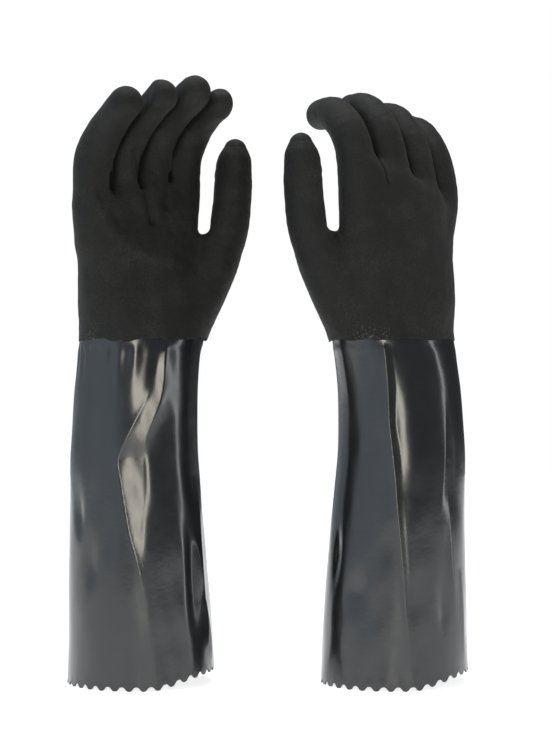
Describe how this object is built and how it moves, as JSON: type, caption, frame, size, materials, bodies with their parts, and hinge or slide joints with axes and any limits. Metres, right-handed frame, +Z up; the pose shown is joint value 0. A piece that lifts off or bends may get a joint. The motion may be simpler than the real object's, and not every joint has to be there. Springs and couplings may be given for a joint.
{
  "type": "cryogenic gauntlet gloves",
  "caption": "Pair of long insulated waterproof gauntlet gloves standing on their cuffs, sandy-coated hands with bending fingers and smooth long sleeves.",
  "frame": {"origin": "centre of the pair's bounding box on the surface that the cuff edges stand on", "axes": "+Z up from the cuffs to the fingertips, +X from the glove that shows its palm to the glove that shows its back, -Y towards the front, where one palm and one back of the hand face"},
  "size_m": [0.292, 0.1282, 0.4334],
  "materials": {
    "sandy_pvc": "matte gritty",
    "sleeve_pvc": "glossy smooth",
    "lining_fabric": "brushed fleece"
  },
  "bodies": {
    "glove_a": {"a_sleeve": "sleeve_pvc", "a_sleeve_lining": "lining_fabric", "a_sleeve_seam": "sleeve_pvc", "a_hand_coat": "sandy_pvc", "a_hand_lining": "lining_fabric", "a_thumb_knuckle_fold": "sandy_pvc", "a_index_knuckle_fold": "sandy_pvc", "a_middle_knuckle_fold": "sandy_pvc", "a_ring_knuckle_fold": "sandy_pvc", "a_little_knuckle_fold": "sandy_pvc"},
    "a_thumb_root": {"a_thumb_base": "sandy_pvc", "a_thumb_middle_fold": "sandy_pvc", "a_thumb_lining": "lining_fabric"},
    "a_thumb_tip": {"a_thumb_end": "sandy_pvc"},
    "a_index_root": {"a_index_base": "sandy_pvc", "a_index_middle_fold": "sandy_pvc", "a_index_lining": "lining_fabric"},
    "a_index_tip": {"a_index_end": "sandy_pvc"},
    "a_middle_root": {"a_middle_base": "sandy_pvc", "a_middle_middle_fold": "sandy_pvc", "a_middle_lining": "lining_fabric"},
    "a_middle_tip": {"a_middle_end": "sandy_pvc"},
    "a_ring_root": {"a_ring_base": "sandy_pvc", "a_ring_middle_fold": "sandy_pvc", "a_ring_lining": "lining_fabric"},
    "a_ring_tip": {"a_ring_end": "sandy_pvc"},
    "a_little_root": {"a_little_base": "sandy_pvc", "a_little_middle_fold": "sandy_pvc", "a_little_lining": "lining_fabric"},
    "a_little_tip": {"a_little_end": "sandy_pvc"},
    "glove_b": {"b_sleeve": "sleeve_pvc", "b_sleeve_lining": "lining_fabric", "b_sleeve_seam": "sleeve_pvc", "b_hand_coat": "sandy_pvc", "b_hand_lining": "lining_fabric", "b_thumb_knuckle_fold": "sandy_pvc", "b_index_knuckle_fold": "sandy_pvc", "b_middle_knuckle_fold": "sandy_pvc", "b_ring_knuckle_fold": "sandy_pvc", "b_little_knuckle_fold": "sandy_pvc"},
    "b_thumb_root": {"b_thumb_base": "sandy_pvc", "b_thumb_middle_fold": "sandy_pvc", "b_thumb_lining": "lining_fabric"},
    "b_thumb_tip": {"b_thumb_end": "sandy_pvc"},
    "b_index_root": {"b_index_base": "sandy_pvc", "b_index_middle_fold": "sandy_pvc", "b_index_lining": "lining_fabric"},
    "b_index_tip": {"b_index_end": "sandy_pvc"},
    "b_middle_root": {"b_middle_base": "sandy_pvc", "b_middle_middle_fold": "sandy_pvc", "b_middle_lining": "lining_fabric"},
    "b_middle_tip": {"b_middle_end": "sandy_pvc"},
    "b_ring_root": {"b_ring_base": "sandy_pvc", "b_ring_middle_fold": "sandy_pvc", "b_ring_lining": "lining_fabric"},
    "b_ring_tip": {"b_ring_end": "sandy_pvc"},
    "b_little_root": {"b_little_base": "sandy_pvc", "b_little_middle_fold": "sandy_pvc", "b_little_lining": "lining_fabric"},
    "b_little_tip": {"b_little_end": "sandy_pvc"}
  },
  "joints": [
    {"name": "glove_b_lift", "type": "slide", "parent": "glove_a", "child": "glove_b", "axis": [0, 0, 1], "range_m": [0, 0.45]},
    {"name": "a_thumb_knuckle", "type": "hinge", "parent": "glove_a", "child": "a_thumb_root", "pos_m": [-0.02803, 0.01068, 0.335], "axis": [0.9036, 0.4213, -0.0779], "range_deg": [-15, 40], "stiffness_Nm_per_rad": 0.3, "deforming": ["a_thumb_knuckle_fold", "a_thumb_lining"]},
    {"name": "a_thumb_middle", "type": "hinge", "parent": "a_thumb_root", "child": "a_thumb_tip", "pos_m": [-0.02543, 0.01101, 0.367], "axis": [0.9036, 0.4213, -0.0779], "range_deg": [-15, 45], "stiffness_Nm_per_rad": 0.3, "deforming": ["a_thumb_middle_fold"]},
    {"name": "a_index_knuckle", "type": "hinge", "parent": "glove_a", "child": "a_index_root", "pos_m": [-0.06109, 0.00586, 0.3745], "axis": [0.8925, 0.4162, -0.1736], "range_deg": [-20, 50], "stiffness_Nm_per_rad": 0.3, "deforming": ["a_index_knuckle_fold", "a_index_lining"]},
    {"name": "a_index_middle", "type": "hinge", "parent": "a_index_root", "child": "a_index_tip", "pos_m": [-0.0553, 0.00441, 0.40083], "axis": [0.8925, 0.4162, -0.1736], "range_deg": [-30, 30], "stiffness_Nm_per_rad": 0.3, "deforming": ["a_index_middle_fold"]},
    {"name": "a_middle_knuckle", "type": "hinge", "parent": "glove_a", "child": "a_middle_root", "pos_m": [-0.08348, -0.00293, 0.37], "axis": [0.8925, 0.4162, -0.1736], "range_deg": [-20, 50], "stiffness_Nm_per_rad": 0.3, "deforming": ["a_middle_knuckle_fold", "a_middle_lining"]},
    {"name": "a_middle_middle", "type": "hinge", "parent": "a_middle_root", "child": "a_middle_tip", "pos_m": [-0.07617, -0.00565, 0.40103], "axis": [0.8925, 0.4162, -0.1736], "range_deg": [-30, 30], "stiffness_Nm_per_rad": 0.3, "deforming": ["a_middle_middle_fold"]},
    {"name": "a_ring_knuckle", "type": "hinge", "parent": "glove_a", "child": "a_ring_root", "pos_m": [-0.10532, -0.01477, 0.3635], "axis": [0.8925, 0.4162, -0.1736], "range_deg": [-20, 50], "stiffness_Nm_per_rad": 0.3, "deforming": ["a_ring_knuckle_fold", "a_ring_lining"]},
    {"name": "a_ring_middle", "type": "hinge", "parent": "a_ring_root", "child": "a_ring_tip", "pos_m": [-0.09845, -0.01648, 0.39471], "axis": [0.8925, 0.4162, -0.1736], "range_deg": [-30, 30], "stiffness_Nm_per_rad": 0.3, "deforming": ["a_ring_middle_fold"]},
    {"name": "a_little_knuckle", "type": "hinge", "parent": "glove_a", "child": "a_little_root", "pos_m": [-0.12611, -0.02887, 0.357], "axis": [0.8925, 0.4162, -0.1736], "range_deg": [-20, 50], "stiffness_Nm_per_rad": 0.3, "deforming": ["a_little_knuckle_fold", "a_little_lining"]},
    {"name": "a_little_middle", "type": "hinge", "parent": "a_little_root", "child": "a_little_tip", "pos_m": [-0.12033, -0.02856, 0.38745], "axis": [0.8925, 0.4162, -0.1736], "range_deg": [-30, 30], "stiffness_Nm_per_rad": 0.3, "deforming": ["a_little_middle_fold"]},
    {"name": "b_thumb_knuckle", "type": "hinge", "parent": "glove_b", "child": "b_thumb_root", "pos_m": [0.02803, -0.02686, 0.335], "axis": [-0.9036, -0.4213, -0.0779], "range_deg": [-15, 40], "stiffness_Nm_per_rad": 0.3, "deforming": ["b_thumb_knuckle_fold", "b_thumb_lining"]},
    {"name": "b_thumb_middle", "type": "hinge", "parent": "b_thumb_root", "child": "b_thumb_tip", "pos_m": [0.02543, -0.02719, 0.367], "axis": [-0.9036, -0.4213, -0.0779], "range_deg": [-15, 45], "stiffness_Nm_per_rad": 0.3, "deforming": ["b_thumb_middle_fold"]},
    {"name": "b_index_knuckle", "type": "hinge", "parent": "glove_b", "child": "b_index_root", "pos_m": [0.06559, -0.02104, 0.373], "axis": [-0.8951, -0.4174, -0.1564], "range_deg": [-20, 50], "stiffness_Nm_per_rad": 0.3, "deforming": ["b_index_knuckle_fold", "b_index_lining"]},
    {"name": "b_index_middle", "type": "hinge", "parent": "b_index_root", "child": "b_index_tip", "pos_m": [0.05888, -0.0167, 0.39983], "axis": [-0.8951, -0.4174, -0.1564], "range_deg": [-30, 30], "stiffness_Nm_per_rad": 0.3, "deforming": ["b_index_middle_fold"]},
    {"name": "b_middle_knuckle", "type": "hinge", "parent": "glove_b", "child": "b_middle_root", "pos_m": [0.09139, -0.01011, 0.3675], "axis": [-0.8951, -0.4174, -0.1564], "range_deg": [-20, 50], "stiffness_Nm_per_rad": 0.3, "deforming": ["b_middle_knuckle_fold", "b_middle_lining"]},
    {"name": "b_middle_middle", "type": "hinge", "parent": "b_middle_root", "child": "b_middle_tip", "pos_m": [0.08369, -0.00591, 0.40035], "axis": [-0.8951, -0.4174, -0.1564], "range_deg": [-30, 30], "stiffness_Nm_per_rad": 0.3, "deforming": ["b_middle_middle_fold"]},
    {"name": "b_ring_knuckle", "type": "hinge", "parent": "glove_b", "child": "b_ring_root", "pos_m": [0.11309, 0.00607, 0.36], "axis": [-0.8951, -0.4174, -0.1564], "range_deg": [-20, 50], "stiffness_Nm_per_rad": 0.3, "deforming": ["b_ring_knuckle_fold", "b_ring_lining"]},
    {"name": "b_ring_middle", "type": "hinge", "parent": "b_ring_root", "child": "b_ring_tip", "pos_m": [0.10539, 0.00985, 0.39393], "axis": [-0.8951, -0.4174, -0.1564], "range_deg": [-30, 30], "stiffness_Nm_per_rad": 0.3, "deforming": ["b_ring_middle_fold"]},
    {"name": "b_little_knuckle", "type": "hinge", "parent": "glove_b", "child": "b_little_root", "pos_m": [0.13061, 0.02362, 0.3535], "axis": [-0.8951, -0.4174, -0.1564], "range_deg": [-20, 50], "stiffness_Nm_per_rad": 0.3, "deforming": ["b_little_knuckle_fold", "b_little_lining"]},
    {"name": "b_little_middle", "type": "hinge", "parent": "b_little_root", "child": "b_little_tip", "pos_m": [0.12423, 0.02556, 0.3848], "axis": [-0.8951, -0.4174, -0.1564], "range_deg": [-30, 30], "stiffness_Nm_per_rad": 0.3, "deforming": ["b_little_middle_fold"]}
  ]
}
